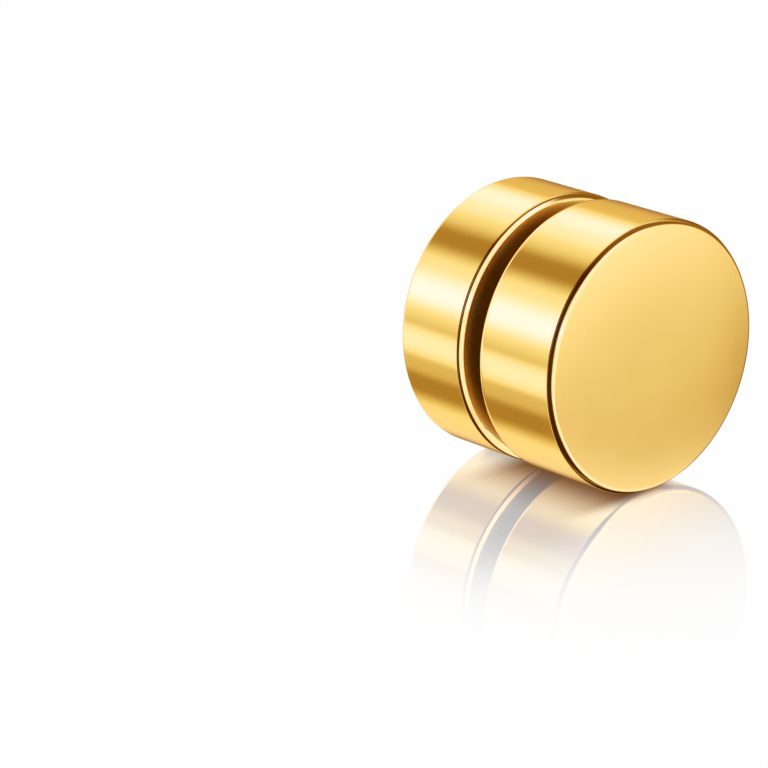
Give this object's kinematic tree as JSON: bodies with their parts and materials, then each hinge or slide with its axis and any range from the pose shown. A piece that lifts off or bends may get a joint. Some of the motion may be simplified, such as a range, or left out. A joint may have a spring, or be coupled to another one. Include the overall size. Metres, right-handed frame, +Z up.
{
  "type": "magnetic stud earring",
  "caption": "Plain round drum earring worn without a pierced ear: a front shell and a back shell, held together by a disc magnet in each.",
  "frame": {"origin": "on the line of contact with the table, midway between the two end faces", "axes": "+Y along the earring's axis from the front face to the back, +Z up, the earring lies on its round side"},
  "size_m": [0.008, 0.0064, 0.008],
  "materials": {
    "gold_plate": "polished walls, satin end faces",
    "nickel": "bright nickel plate"
  },
  "bodies": {
    "front": {"front_shell": "gold_plate", "front_magnet": "nickel"},
    "back": {"back_shell": "gold_plate", "back_magnet": "nickel"}
  },
  "joints": [
    {"name": "back_pull", "type": "slide", "parent": "front", "child": "back", "axis": [0, 1, 0], "range_m": [0, 0.01], "stiffness_N_per_m": 0.5, "springref_m": -0.1}
  ]
}
